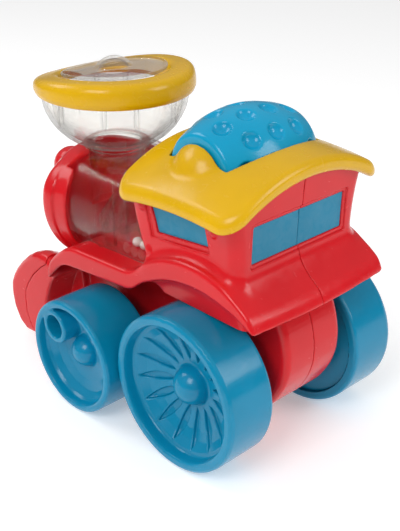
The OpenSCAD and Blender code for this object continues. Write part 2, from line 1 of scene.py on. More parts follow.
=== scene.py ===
import json
import math
import bpy
import numpy as np
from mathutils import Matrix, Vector


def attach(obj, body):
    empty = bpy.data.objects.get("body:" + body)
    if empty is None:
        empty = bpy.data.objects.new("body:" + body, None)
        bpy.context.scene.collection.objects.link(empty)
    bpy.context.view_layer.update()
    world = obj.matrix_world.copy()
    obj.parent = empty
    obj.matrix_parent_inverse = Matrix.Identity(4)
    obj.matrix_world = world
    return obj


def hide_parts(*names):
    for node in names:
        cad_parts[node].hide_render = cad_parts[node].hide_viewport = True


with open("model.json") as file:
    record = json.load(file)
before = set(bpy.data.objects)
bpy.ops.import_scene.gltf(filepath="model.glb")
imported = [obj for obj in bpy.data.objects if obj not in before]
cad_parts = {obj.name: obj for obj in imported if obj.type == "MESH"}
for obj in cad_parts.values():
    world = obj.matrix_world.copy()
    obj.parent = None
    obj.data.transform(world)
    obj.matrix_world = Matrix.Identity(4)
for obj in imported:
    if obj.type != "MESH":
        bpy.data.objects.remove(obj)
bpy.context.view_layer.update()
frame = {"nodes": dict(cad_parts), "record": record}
joints = {j["name"]: j for j in frame["record"]["behaviour"]["joints"]}

# Shapes below are in millimetres: x forward from the rear axle, y to the left, z up from the ground.
REAR_X = joints["rear_wheels_spin"]["pos_m"][0] * 1000
REAR_Z = joints["rear_wheels_spin"]["pos_m"][2] * 1000
FRONT_X = joints["front_wheels_spin"]["pos_m"][0] * 1000 - REAR_X
FRONT_Z = joints["front_wheels_spin"]["pos_m"][2] * 1000
ROLL_X = joints["roller_spin"]["pos_m"][0] * 1000 - REAR_X
ROLL_Z = joints["roller_spin"]["pos_m"][2] * 1000


FINE = 1.0

# ------------------------------------------------------------------ shape maths


def smin(a, b, k):
    """Either of two shapes, with the inner corner between them filled over k."""
    h = np.maximum(k - np.abs(a - b), 0.0) / k
    return np.minimum(a, b) - h * h * k * 0.25


def smax(a, b, k):
    """Both of two shapes at once, with the outer corner between them eased over k."""
    return -smin(-a, -b, k)


def slab(v, lo, hi):
    """Between lo and hi."""
    return np.maximum(lo - v, v - hi)


def joined(a, b, r):
    """Both at once, with the edge between them rounded to r."""
    p, q = a + r, b + r
    return np.minimum(np.maximum(p, q), 0.0) + np.hypot(np.maximum(p, 0.0), np.maximum(q, 0.0)) - r


def box2(u, v, hu, hv, r):
    """A centred rectangle of half sizes hu and hv with corners of radius r."""
    return joined(np.abs(u) - hu, np.abs(v) - hv, r)


def plane(u, v, a, b):
    """Below the line from a to b, running towards +u."""
    du, dv = b[0] - a[0], b[1] - a[1]
    n = math.hypot(du, dv)
    return (-dv * (u - a[0]) + du * (v - a[1])) / n


def rounded_points(pts, times=3, keep=0.2):
    """Cuts the corners of a closed outline."""
    pts = [np.array(p, float) for p in pts]
    for _ in range(times):
        out = []
        for i in range(len(pts)):
            a, b = pts[i], pts[(i + 1) % len(pts)]
            out += [a + (b - a) * keep, b - (b - a) * keep]
        pts = out
        keep = 0.25
    return pts


def outline(u, v, pts):
    """Signed distance to a closed outline."""
    u, v = np.broadcast_arrays(u, v)
    best = np.full(u.shape, 1e9)
    sign = np.ones(u.shape)
    for i in range(len(pts)):
        a, b = pts[i], pts[i - 1]
        eu, ev = b[0] - a[0], b[1] - a[1]
        wu, wv = u - a[0], v - a[1]
        t = np.clip((wu * eu + wv * ev) / (eu * eu + ev * ev + 1e-12), 0, 1)
        best = np.minimum(best, (wu - eu * t) ** 2 + (wv - ev * t) ** 2)
        c1, c2, c3 = v >= a[1], v < b[1], eu * wv > ev * wu
        sign = np.where((c1 & c2 & c3) | (~c1 & ~c2 & ~c3), -sign, sign)
    return sign * np.sqrt(best)


def skin(field, lo, hi, step):
    """A quad mesh on the zero surface of field(x, y, z), pulled exactly onto it."""
    step = step * FINE
    axes = [np.arange(lo[i], hi[i] + step, step) for i in range(3)]
    shape = tuple(len(a) for a in axes)
    f = field(axes[0][:, None, None], axes[1][None, :, None], axes[2][None, None, :])
    f = np.broadcast_to(f, shape).astype(np.float32)
    inside = f < 0
    cells = tuple(n - 1 for n in shape)
    count = np.zeros(cells, np.int8)
    corners = [(i, j, k) for i in (0, 1) for j in (0, 1) for k in (0, 1)]

    def cut(a, c):
        return a[c[0]:c[0] + cells[0], c[1]:c[1] + cells[1], c[2]:c[2] + cells[2]]

    for c in corners:
        count += cut(inside, c)
    active = (count > 0) & (count < 8)
    where = np.argwhere(active)
    index = np.full(cells, -1, np.int64)
    index[active] = np.arange(len(where))
    total = np.zeros((len(where), 3))
    hits = np.zeros(len(where))
    values = {c: cut(f, c)[active] for c in corners}
    for c in corners:
        for ax in range(3):
            if c[ax] == 1:
                continue
            d = list(c)
            d[ax] = 1
            a, b = values[c], values[tuple(d)]
            m = (a < 0) != (b < 0)
            t = np.where(m, a / np.where(m, a - b, 1), 0)
            for i in range(3):
                total[:, i] += np.where(m, c[i] + (t if i == ax else 0), 0)
            hits += m
    p = (where + total / hits[:, None]) * step + np.array([a[0] for a in axes])
    quads = []
    for ax in range(3):
        u, w = [(1, 2), (2, 0), (0, 1)][ax]
        a = np.take(inside, range(0, shape[ax] - 1), ax)
        b = np.take(inside, range(1, shape[ax]), ax)
        change = a != b
        pick = np.argwhere(change)
        pick = pick[(pick[:, u] > 0) & (pick[:, w] > 0) & (pick[:, u] < cells[u]) & (pick[:, w] < cells[w])]

        def cell(du, dw):
            q = pick.copy()
            q[:, u] += du
            q[:, w] += dw
            return index[q[:, 0], q[:, 1], q[:, 2]]

        loop = np.stack([cell(-1, -1), cell(0, -1), cell(0, 0), cell(-1, 0)], 1)
        out = a[pick[:, 0], pick[:, 1], pick[:, 2]]
        quads.append(np.where(out[:, None], loop, loop[:, ::-1]))
    quads = np.concatenate(quads)
    quads = quads[(quads >= 0).all(1)]
    limit = step * 0.7
    for _ in range(5):
        d, g = slope(field, p, 0.02)
        move = -g * (d / np.maximum((g ** 2).sum(1), 0.05))[:, None]
        size = np.linalg.norm(move, axis=1)
        p = p + move * np.minimum(1, limit / np.maximum(size, 1e-9))[:, None]
    return p, quads


def slope(field, p, e):
    """The field at points p and its gradient, taken over a distance e."""
    x, y, z = p[:, 0], p[:, 1], p[:, 2]
    d = field(x, y, z)
    g = np.stack([field(x + e, y, z) - field(x - e, y, z),
                  field(x, y + e, z) - field(x, y - e, z),
                  field(x, y, z + e) - field(x, y, z - e)], 1) / (2 * e)
    return d, g


def piece(name, p, faces, body, mat, replaces=(), flip=False, normals=None):
    """A mesh object from vertices p in millimetres, on a body, in place of the CAD nodes it replaces."""
    mesh = bpy.data.meshes.new(name)
    p = np.array(p, float)
    v = (p + np.array([REAR_X, 0, 0])) / 1000
    f = np.array(faces)
    if flip:
        f = f[:, ::-1]
    mesh.vertices.add(len(v))
    mesh.vertices.foreach_set("co", v.astype(np.float32).ravel())
    n = f.shape[1]
    mesh.loops.add(len(f) * n)
    mesh.loops.foreach_set("vertex_index", f.astype(np.int32).ravel())
    mesh.polygons.add(len(f))
    mesh.polygons.foreach_set("loop_start", np.arange(0, len(f) * n, n, dtype=np.int32))
    mesh.polygons.foreach_set("use_smooth", np.ones(len(f), bool))
    mesh.update()
    mesh.validate()
    if normals is not None:
        nrm = np.array(normals, float)
        nrm /= np.maximum(np.linalg.norm(nrm, axis=1), 1e-9)[:, None]
        mesh.normals_split_custom_set_from_vertices(nrm.astype(np.float32))
    obj = bpy.data.objects.new(name, mesh)
    bpy.context.scene.collection.objects.link(obj)
    obj.data.materials.append(mat)
    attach(obj, body)
    if replaces:
        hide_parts(*replaces)
    return obj


def carve(name, field, lo, hi, step, body, mat, replaces=(), mirrored=None):
    """Meshes a field as a piece; mirrored names its mirror image in y and the nodes that one replaces."""
    p, f = skin(field, lo, hi, step)
    _, g = slope(field, p, 0.12)
    piece(name, p, f, body, mat, replaces, normals=g)
    if mirrored:
        m = np.array([1, -1, 1])
        piece(mirrored[0], p * m, f, body, mat, mirrored[1], flip=True, normals=g * m)


# ------------------------------------------------------------------ materials


def shader_nodes(name):
    """A new material, its node tree, its Principled shader and the object's own coordinates."""
    m = bpy.data.materials.new(name)
    m.use_nodes = True
    tree = m.node_tree
    place = tree.nodes.new("ShaderNodeTexCoord").outputs["Object"]
    return m, tree, tree.nodes["Principled BSDF"], place


def noise(tree, place, scale, detail, distortion=0.0):
    node = tree.nodes.new("ShaderNodeTexNoise")
    node.inputs["Scale"].default_value = scale
    node.inputs["Detail"].default_value = detail
    node.inputs["Distortion"].default_value = distortion
    tree.links.new(place, node.inputs["Vector"])
    return node.outputs["Fac"]


def spread(tree, value, low, high, start=0.0, end=1.0):
    """Maps start..end onto low..high."""
    node = tree.nodes.new("ShaderNodeMapRange")
    node.inputs["From Min"].default_value = start
    node.inputs["From Max"].default_value = end
    node.inputs["To Min"].default_value = low
    node.inputs["To Max"].default_value = high
    tree.links.new(value, node.inputs["Value"])
    return node.outputs["Result"]


def shade(tree, value, first, second, start=0.0, end=1.0):
    """Blends from the first colour at start to the second at end."""
    node = tree.nodes.new("ShaderNodeValToRGB")
    low, high = node.color_ramp.elements
    low.position = start
    low.color = (*first, 1)
    high.position = end
    high.color = (*second, 1)
    tree.links.new(value, node.inputs["Fac"])
    return node.outputs["Color"]


def relief(tree, height, strength, distance):
    node = tree.nodes.new("ShaderNodeBump")
    node.inputs["Strength"].default_value = strength
    node.inputs["Distance"].default_value = distance
    tree.links.new(height, node.inputs["Height"])
    return node.outputs["Normal"]


def plastic(name, colour, rough=0.2, bump=0.02, deep=0.0):
    """Moulded plastic: faint flow mottling, orange peel, fine scuffs in the gloss."""
    m, tree, shader, place = shader_nodes(name)
    dark = [c * 0.92 for c in colour]
    light = [min(1, c * 1.04) for c in colour]
    mottle = noise(tree, place, 28, 3)
    tree.links.new(shade(tree, mottle, dark, light, 0.3, 0.7), shader.inputs["Base Color"])
    scuff = noise(tree, place, 160, 5, 1.5)
    gloss = spread(tree, scuff, rough * 0.75, rough * 1.45, 0.35, 0.75)
    tree.links.new(gloss, shader.inputs["Roughness"])
    peel = noise(tree, place, 900, 2)
    tree.links.new(relief(tree, peel, bump, 0.0004), shader.inputs["Normal"])
    shader.inputs["IOR"].default_value = 1.5
    shader.inputs["Specular IOR Level"].default_value = 0.32
    if deep:
        shader.inputs["Subsurface Weight"].default_value = deep
        shader.inputs["Subsurface Radius"].default_value = (1.0, 0.35, 0.2)
        shader.inputs["Subsurface Scale"].default_value = 0.002
    return m


def clear_plastic(name, see=0.95, edge=0.6, rough=0.03):
    """Clear styrene: light goes straight through its face and is dimmed where the sheet is seen on edge."""
    m, tree, shader, place = shader_nodes(name)
    haze = noise(tree, place, 90, 4)
    tree.links.new(spread(tree, haze, rough, rough + 0.05, 0.4, 0.8), shader.inputs["Roughness"])
    wave = noise(tree, place, 45, 1)
    tree.links.new(relief(tree, wave, 0.05, 0.0005), shader.inputs["Normal"])
    shader.inputs["Base Color"].default_value = (0.86, 0.85, 0.83, 1)
    shader.inputs["Transmission Weight"].default_value = 1.0
    shader.inputs["IOR"].default_value = 1.46
    weight = tree.nodes.new("ShaderNodeLayerWeight")
    weight.inputs["Blend"].default_value = 0.35
    facing = weight.outputs["Facing"]
    on_edge = (edge, edge * 0.985, edge * 0.96)
    clear = tree.nodes.new("ShaderNodeBsdfTransparent")
    tree.links.new(shade(tree, facing, (0.975, 0.97, 0.96), on_edge, 0.25, 0.95), clear.inputs["Color"])
    mix = tree.nodes.new("ShaderNodeMixShader")
    tree.links.new(spread(tree, facing, see, 0.35, 0.3), mix.inputs["Fac"])
    tree.links.new(shader.outputs["BSDF"], mix.inputs[1])
    tree.links.new(clear.outputs["BSDF"], mix.inputs[2])
    tree.links.new(mix.outputs["Shader"], tree.nodes["Material Output"].inputs["Surface"])
    return m


def metal(name, colour, rough=0.28):
    """Drawn or turned metal with fine marks across the axle."""
    m, tree, shader, place = shader_nodes(name)
    stretch = tree.nodes.new("ShaderNodeMapping")
    stretch.inputs["Scale"].default_value = (1, 40, 1)
    tree.links.new(place, stretch.inputs["Vector"])
    marks = noise(tree, stretch.outputs["Vector"], 120, 4)
    tree.links.new(spread(tree, marks, rough * 0.7, rough * 1.5), shader.inputs["Roughness"])
    worn = [c * 0.85 for c in colour]
    tree.links.new(shade(tree, marks, worn, colour), shader.inputs["Base Color"])
    shader.inputs["Metallic"].default_value = 1.0
    return m


RED = plastic("red_moulding", (0.66, 0.008, 0.014), rough=0.2, deep=0.03)
YELLOW = plastic("yellow_moulding", (0.70, 0.40, 0.002), rough=0.22, deep=0.03)
BLUE = plastic("blue_moulding", (0.0015, 0.24, 0.42), rough=0.18)
# The roller's blue is the wheels' blue made lighter: painted light for the roller's lit top.
ROLLER_LIT_BLUE = plastic("roller_blue_painted_top_light", (0.0015, 0.33, 0.56), rough=0.16)
PANE = plastic("window_blue", (0.016, 0.23, 0.38), rough=0.5, bump=0.05)
CLEAR = clear_plastic("clear_moulding")
CLEAR_THICK = clear_plastic("clear_thick", see=0.84, edge=0.62)
PINK = plastic("pink_bead", (0.85, 0.10, 0.32), rough=0.18)
ORANGE = plastic("orange_bead", (0.90, 0.30, 0.03), rough=0.18)
WHITE = plastic("white_bead", (0.85, 0.83, 0.78), rough=0.2)
NYLON = plastic("gear_nylon", (0.80, 0.80, 0.74), rough=0.4, bump=0.05)
BLACK = plastic("gearbox_black", (0.03, 0.03, 0.035), rough=0.45, bump=0.05)
STEEL = metal("drawn_steel", (0.62, 0.63, 0.65))
BRASS = metal("turned_brass", (0.78, 0.57, 0.22))

# ------------------------------------------------------------------ red body

# Crown height of the roof, radius of its arch across the train, radius of its arch along the train
ROOF_TOP, ROOF_ARCH, ROOF_CROWN = 152.9, 87.7, 211.0
# Height of the barrel's axis and of the flat saddle on top of it, outer radius of the red ring
BOILER_Z, SADDLE_Z, RING_R = 95.5, 124.0, 40.0
# The roller: largest radius, half length, and how much its radius falls towards the ends
ROLLER_R, ROLLER_HALF, ROLLER_SAG = 26.7, 30.0, 7.6
ROLLER_CURVE = (ROLLER_HALF ** 2 + ROLLER_SAG ** 2) / (2 * ROLLER_SAG)
# Half widths of the fenders, of the chassis, and of nose and bumper
FENDER_HALF, CHASSIS_HALF, NOSE_HALF = 46.7, 20.0, 42.0


def under_roof(x, y, z, drop):
    """Distance to the roof's domed top, lowered by drop; negative below it."""
    q = np.hypot(x, z - (ROOF_TOP - drop - ROOF_CROWN)) - (ROOF_CROWN - ROOF_ARCH)
    return np.hypot(q, y) - ROOF_ARCH


def falling(u, v, pts, k):
    """Below a chain of lines that bends downwards as u grows."""
    d = plane(u, v, pts[0], pts[1])
    for a, b in zip(pts[1:-1], pts[2:]):
        d = smax(d, plane(u, v, a, b), k)
    return d


# Top of the deck, and lower edge of the fender lip, in front of the cab: (x, z)
DECK_LINE = [(42.9, 85.3), (92, 82.3), (106.6, 72.2), (112.2, 65.2), (113.4, 59)]
LIP_LINE = [(41.8, 75.9), (97.7, 70.5), (107.4, 62.7), (117.1, 51), (122.4, 38.9), (124.4, 30.4)]


def deck_under(x, z):
    """Below the top surface of fenders and deck, seen from the side."""
    front = falling(x, z, DECK_LINE, 3.5)
    front = np.maximum(smax(front, x - 113.4, 3), 36 - x)
    return smin(np.hypot(x + 1, z - 46.8) - 57, front, 5)


def lip_under(x, z):
    """Below the lower edge of the fender lip."""
    front = falling(x, z, LIP_LINE, 4)
    front = np.maximum(smax(front, x - 124.6, 4), 36 - x)
    return smin(np.hypot(x + 4, z - 29.1) - 65.4, front, 3)


def cab_half_width(z):
    return 41.3 + 0.0036 * np.maximum(z - 104, 0) ** 2


def cab_front(z):
    return 46.2 - 0.0095 * np.maximum(124 - z, 0) ** 2


def cab_rear(z):
    return -25.2 - 0.0012 * np.maximum(z - 106, 0) ** 2 - 0.012 * np.maximum(106 - z, 0) ** 2


def cab_outside(x, y, z):
    """The cab's walls, flaring towards the roof."""
    xf, xr = cab_front(z), cab_rear(z)
    return box2(x - (xf + xr) / 2, y, (xf - xr) / 2, cab_half_width(z), 6.5)


# Side outlines, (x, z): chassis with its gear housing, the seam between nose and bumper, all that lies
# behind that seam, and nose and bumper in one
CHASSIS = rounded_points([
    (-27, 92), (-31.5, 80), (-35.5, 70), (-37.6, 60), (-37.2, 50), (-34.5, 41), (-28, 30), (-16, 18.5),
    (-2, 12.5), (16, 11), (110, 11), (122, 14), (126, 22), (126, 60), (104, 72), (44, 80), (20, 97),
    (-14, 98),
], 2)
SEAM = [(136, 10.4), (140.4, 16.9), (142.6, 22), (142.8, 30), (141.8, 36.2), (139.1, 41.1), (133.2, 49),
        (125.5, 56.2), (119.5, 60.6)]
NOSE_SIDE = SEAM + [(119.5, 90), (60, 90), (60, -20), (136, -20)]
BLOCK = rounded_points([
    (108, 10), (136, 8.6), (145.4, 7.6), (152.2, 11.6), (157.2, 20), (158.6, 28), (158.6, 32.4), (158, 36.6),
    (155.4, 41.8), (151.4, 47.4), (146.2, 52.8), (139.8, 58.4), (133.4, 62.4), (127.5, 64.6), (119.7, 65),
    (113, 61), (110.5, 56), (109.5, 44), (109, 31), (108, 18),
], 1, 0.12)
# Side windows, (x, z): the pane, its frame, and the moulded studs at the frame's corners
SIDE_GLASS = [(31, 122.3), (27.9, 109.6), (-6.3, 113.3), (-4.3, 124.6)]
SIDE_FRAME = [(34.6, 123.7), (31.6, 106.4), (-8.2, 110.8), (-6.0, 126.6)]
STUDS = [(36.4, 121.9), (32.8, 98.9), (-11.8, 104.3), (-11.6, 123.2)]


def roller_room(x, y, z, gap):
    """The roller's barrel, grown by gap."""
    r = np.hypot(x - ROLL_X, z - ROLL_Z)
    side = np.hypot(r - (ROLLER_R - ROLLER_CURVE), y) - ROLLER_CURVE
    return np.maximum(side - gap, np.abs(y) - ROLLER_HALF - gap)


def across_hole(x, z, at_x, at_z, r):
    """A round hole across the train."""
    return np.hypot(x - at_x, z - at_z) - r


def front_block(x, y, z):
    """Nose and bumper in one, lower between the two fender fronts."""
    ay = np.abs(y)
    s = np.clip((ay - 20) / 17, 0, 1)
    dip = 6.5 * (1 - s * s * (3 - 2 * s)) * np.clip((z - 22) / 40, 0, 1)
    return joined(outline(x, z + dip, BLOCK), ay - NOSE_HALF, 4)


def fender_sheet(x, y, z):
    """Fenders, deck and rear skirt: one thin sheet with a lip hanging from its edge."""
    ay = np.abs(y)
    deck = deck_under(x, z)
    rear = -0.941 * (x + 41.85 - 0.0005 * ay ** 2) + 0.338 * (z - 82.6)
    sheet = smax(smax(deck, ay - FENDER_HALF, 2.6), rear, 1.8)
    room = smax(smax(deck + 2.8, ay - (FENDER_HALF - 2.8), 2), -(x + 38.4), 2)
    sheet = smax(sheet, -smin(room, lip_under(x, z), 1.0), 1.4)
    return smax(sheet, 15 - z, 3)


def chassis_and_nose(x, y, z):
    ay = np.abs(y)
    box = joined(outline(x, z, CHASSIS), ay - CHASSIS_HALF, 4)
    box = np.maximum(box, deck_under(x, z) + 0.8)
    nose = smax(front_block(x, y, z), outline(x, z, NOSE_SIDE), 0.3)
    nose = smax(nose, -np.maximum(lip_under(x, z), 24 - ay), 1.6)
    return box, nose


def cut_windows(red, x, y, z):
    """Frames and panes sunk into the cab's sides and back, and the studs round the side ones."""
    ay = np.abs(y)
    wall = cab_half_width(z)
    frame_cut = joined(outline(x, z, SIDE_FRAME) + 0.4, wall - 1.3 - ay, 0.4)
    red = smax(red, -frame_cut, 0.8)
    glass_cut = joined(outline(x, z, SIDE_GLASS), wall - 3.4 - ay, 0.2)
    red = smax(red, -glass_cut, 0.5)
    back = cab_rear(z)
    rear_cut = joined(box2(ay, z - 116.9, 32.4, 10.9, 1.2), x - (back + 0.9), 0.3)
    red = smax(red, -rear_cut, 0.7)
    pane_cut = joined(box2(ay, z - 116.8, 30.8, 9.1, 0.6), x - (back + 2.8), 0.2)
    red = smax(red, -pane_cut, 0.5)
    for at_x, at_z in STUDS:
        out = (ay - cab_half_width(at_z) + 0.5) * 1.35
        red = smin(red, np.sqrt((x - at_x) ** 2 + (z - at_z) ** 2 + out ** 2) - 2.7, 0.9)
    return red


def cut_rooms(red, x, y, z):
    """The seat of the boiler front, room for the roller and the gears, and the axle holes."""
    ay = np.abs(y)
    r = np.hypot(y, z - BOILER_Z)
    red = smax(red, -np.maximum(r - RING_R, 104.9 - x), 0.5)
    red = np.maximum(red, -roller_room(x, y, z, 1.6))
    gears = joined(slab(x, -35, 24), joined(slab(z, 20, 86), ay - 16.5, 2), 2)
    gears = np.maximum(gears, outline(x, z, CHASSIS) + 2.2)
    red = np.maximum(red, -gears)
    red = np.maximum(red, -np.maximum(across_hole(x, z, 0, REAR_Z, 2.6), 15 - ay))
    return np.maximum(red, -np.maximum(across_hole(x, z, FRONT_X, FRONT_Z, 2.6), ay - 60))


def body_field(x, y, z):
    """The left half of the red body: fenders, cab, chassis and nose, up to the seam at y = 0."""
    lid = under_roof(x, y, z, 6.5)
    cab = np.maximum(np.maximum(cab_outside(x, y, z), lid), 80 - z)
    red = smin(fender_sheet(x, y, z), cab, 8)
    red = np.maximum(red, lid)
    box, nose = chassis_and_nose(x, y, z)
    red = smin(red, box, 3)
    red = smin(red, nose, 2.2)
    red = cut_windows(red, x, y, z)
    red = cut_rooms(red, x, y, z)
    return smax(red, 0.07 - y, 0.5)


carve("body_left_shell", body_field, (-45, -0.6, 7), (145, 50, 150), 0.8, "train", RED,
      ["body_left"], ("body_right_shell", ["body_right"]))


def bumper_field(x, y, z):
    d = smax(front_block(x, y, z), 0.2 - outline(x, z, NOSE_SIDE), 0.3)
    return smax(d, RING_R + 0.1 - np.hypot(y, z - BOILER_Z), 0.5)


carve("bumper_shell", bumper_field, (119, -44, 6), (161, 44, 68), 0.8, "train", RED, ["bumper"])

# ------------------------------------------------------------------ boiler

# Place of the funnel's axis, and radius of the hole for its neck
CAP_X, NECK_R = 105.0, 15.3
# Radius of the ring's flattened crown
CROWN_R = 58.8
BARREL_R, BARREL_WALL = 36.6, 2.0
# Half section of the ring and its face: (x, radius)
RING = rounded_points([
    (105, 0), (105, 36), (106, 37.4), (112, 37.9), (113.6, 38.2), (114.4, 39.6), (119.5, 40), (122.2, 39),
    (124, 36.4), (124.8, 32.5), (126.6, 31), (128, 27), (128.4, 18), (128.4, 0), (118, -20),
], 2, 0.16)


def ring_field(x, y, z):
    """The red ring and face of the boiler, with a flattened crown under the funnel."""
    r = np.hypot(y, z - BOILER_Z)
    d = outline(x, r, RING)
    d = smax(d, np.hypot(y, z - (SADDLE_Z - 1 - CROWN_R)) - CROWN_R, 5)
    d = smax(d, -np.maximum(r - 33.5, x - 113), 1.5)
    neck = np.hypot(x - CAP_X, y) - NECK_R
    return smax(d, -np.maximum(neck, 90 - z), 0.6)


carve("boiler_front_shell", ring_field, (103, -42, 54), (130.5, 42, 126), 0.7, "train", RED, ["boiler_front"])


def turned(points, steps, closed=True):
    """Points (along, radius) spun about the first axis: vertices (along, a, b) and quads."""
    n = len(points)
    t = np.linspace(0, 2 * np.pi, steps, endpoint=False)
    v = np.array([[p[0], p[1] * math.cos(a), p[1] * math.sin(a)] for a in t for p in points])
    f = []
    for i in range(steps):
        for j in range(n if closed else n - 1):
            k = (j + 1) % n
            a, b = i * n, ((i + 1) % steps) * n
            f.append((a + j, b + j, b + k, a + k))
    return v, f


# The headlamp's ball
LAMP_X, LAMP_Z, LAMP_R = 147.0, 101.0, 10.5


def lamp_field(x, y, z):
    """A ball on a short stalk."""
    r = np.hypot(y, z - LAMP_Z)
    ball = np.hypot(x - LAMP_X, r) - LAMP_R
    stalk = joined(r - 8.9, slab(x, 125, LAMP_X), 0.5)
    flange = joined(r - LAMP_R, slab(x, 125, 128), 0.8)
    return smin(smin(ball, stalk, 2.5), flange, 1.2)


carve("headlamp_ball", lamp_field, (123, -12, 89), (159, 12, 113), 0.6, "train", RED, ["headlamp"])


def barrel_field(x, y, z):
    """The clear barrel: a thin tube with a flat saddle and one moulded band."""
    axis = np.hypot(y, z - BOILER_Z)
    r = axis - BARREL_R
    band = np.hypot(r, x - 78.8) - 1.1
    out = smin(smax(r, z - SADDLE_Z, 7), band, 1.2)
    inner = smax(axis - (BARREL_R - BARREL_WALL), z - (SADDLE_Z - BARREL_WALL), 7)
    d = smax(out, -inner, 0.5)
    d = smax(d, x - 105.1, 0.4)
    d = smax(d, cab_front(z) + 0.3 - x, 0.4)
    d = smax(d, -(deck_under(x, z) - 0.1), 0.4)
    return smax(d, -(np.hypot(x - CAP_X, y) - (NECK_R - 0.1)), 0.4)


carve("boiler_barrel", barrel_field, (34, -39, 76), (107, 39, 126), 0.62, "train", CLEAR, ["boiler_shell"])


def divider_field(x, y, z):
    """A fluted sheet across the inside of the barrel."""
    flute = 2.2 * np.cos(2 * np.pi * y / 8.4)
    d = np.abs(x - 75.5 - flute) - 0.9
    inner = smax(np.hypot(y, z - BOILER_Z) - 33.9, z - (SADDLE_Z - 3), 7)
    d = smax(d * 0.62, inner, 0.5)
    return smax(d, -(deck_under(x, z) - 0.3), 0.4)


carve("boiler_divider_sheet", divider_field, (70, -35, 82), (81, 35, 122), 0.55, "train", CLEAR_THICK,
      ["boiler_divider"])


def spreader_field(x, y, z):
    """A fluted cone that scatters the beads."""
    u, v = x - 92, y
    a = np.arctan2(v, u)
    r = np.hypot(u, v)
    h = np.clip((z - 84) / 26.5, 0, 1.2)
    size = 14.5 * (1 - h) ** 0.8 + 3.2
    size = size * (1 + 0.16 * np.cos(9 * a) * np.clip(1.15 - h, 0, 1))
    d = (r - size) * 0.75
    d = smax(d, z - 111.3, 5)
    return smax(d, -(deck_under(x, z) - 0.2), 0.4)


carve("bead_spreader_cone", spreader_field, (73, -19, 80), (111, 19, 119), 0.6, "train", CLEAR_THICK,
      ["bead_spreader"])


# The beads lie on the deck
BEAD_R, BEAD_PITCH, BEAD_Z = 2.55, 5.6, 87.2


def ball_cluster(name, centres, mat, node):
    """Rounded beads with a small moulding band each."""
    pts, faces = [], []
    rings = []
    for i, t in enumerate(np.linspace(0.001, math.pi - 0.001, 17)):
        r = BEAD_R * (1.03 if i == 8 else 1.0)
        rings.append((math.cos(t) * r, math.sin(t) * r))
    base_v, base_f = turned(rings, 24, closed=False)
    for c in centres:
        start = len(pts)
        tilt = (c[0] * 1.7 + c[1] * 0.9) % 3.1
        ca, sa = math.cos(tilt), math.sin(tilt)
        for v in base_v:
            pts.append((c[0] + v[0] * ca - v[2] * sa, c[1] + v[1], c[2] + v[0] * sa + v[2] * ca))
        faces += [tuple(start + k for k in f) for f in base_f]
    piece(name, pts, faces, "train", mat, [node], flip=True)


def bead_line(first, count, y0):
    return [(first + i * BEAD_PITCH, y0, BEAD_Z) for i in range(count)]


pink = bead_line(49, 4, 14) + bead_line(52, 3, -8) + [(54.6, 14, BEAD_Z + 5)]
orange = bead_line(50, 4, 4) + bead_line(49, 4, -20) + [(57.8, 4, BEAD_Z + 5)]
white = bead_line(52, 3, 23) + bead_line(54.4, 3, -14)
ball_cluster("beads_pink_set", pink, PINK, "beads_pink")
ball_cluster("beads_orange_set", orange, ORANGE, "beads_orange")
ball_cluster("beads_white_set", white, WHITE, "beads_white")

# ------------------------------------------------------------------ funnel

# The funnel's top is one arch along the train: where it is highest, and its radius
CREST_X, CREST_R = 75.0, 278.0
LENS_R = 27.9
# Flutes round the bowl, and where their middles lie
FLUTES, FLUTE_AT, FLUTE_R = 8, 38.4, 6.0


def under_crest(x, z, height):
    """Distance to the funnel's drooping top; negative below it."""
    return np.hypot(x - CREST_X, z - (height - CREST_R)) - CREST_R


# Inside of the bowl, (radius, z), and its closed outer half section
BOWL_PATH = [(15.2, 126), (18.5, 127), (23.2, 129.6), (27.6, 132.8), (31.4, 136.8), (34.2, 141),
             (36.4, 145.6), (37.6, 150), (38.2, 154.2)]


BOWL_SIDE = [(-5, 125.2)] + [(a + 0.9, b - 0.6) for a, b in BOWL_PATH] + [(39.4, 175), (-5, 175)]


def bowl_field(x, y, z):
    """The clear bowl, with upright flutes round its rim."""
    u, v = x - CAP_X, y
    r = np.hypot(u, v)
    out = outline(r, z, BOWL_SIDE)
    for i in range(FLUTES):
        a = math.radians(122 + 360 / FLUTES * i)
        c, s = math.cos(a) * FLUTE_AT, math.sin(a) * FLUTE_AT
        pipe = smax(np.hypot(u - c, v - s) - FLUTE_R, 136.5 - z, 5)
        out = smax(out, -pipe, 0.9)
    d = smax(out, -(out + 2.0), 0.5)
    d = smax(d, z - 154.2, 0.4)
    return smax(d, 13.4 - r, 0.5)


carve("funnel_bowl_shell", bowl_field, (64, -42, 124), (146, 42, 156.5), 0.62, "train", CLEAR,
      ["funnel_bowl"])


def neck_field(x, y, z):
    r = np.hypot(x - CAP_X, y)
    tube = smax(np.abs(r - 14.0) - 1.0, slab(z, 112, 126.4), 0.6)
    flange = smax(np.abs(r - 15.8) - 2.2, slab(z, SADDLE_Z + 0.05, SADDLE_Z + 2.2), 0.8)
    return smin(tube, flange, 1.2)


carve("funnel_neck_tube", neck_field, (84, -21, 110), (126, 21, 128), 0.55, "train", CLEAR, ["funnel_neck"])

# Half section of the yellow cap, before its top is cut to the crest: (radius, z)
CAP = rounded_points([(28.3, 155), (39.4, 154.4), (41.6, 155), (42.5, 157.2), (42.5, 160.4), (42, 164),
                      (40.6, 172), (28.3, 172)], 1, 0.15)


def cap_field(x, y, z):
    r = np.hypot(x - CAP_X, y)
    d = smax(outline(r, z, CAP), under_crest(x, z, 167.3 - 0.0012 * (r - 28) ** 2), 4.2)
    return smax(d, LENS_R + 0.45 - r, 0.6)


carve("funnel_cap_ring", cap_field, (61, -44, 150), (149, 44, 171), 0.7, "train", YELLOW, ["funnel_cap"])


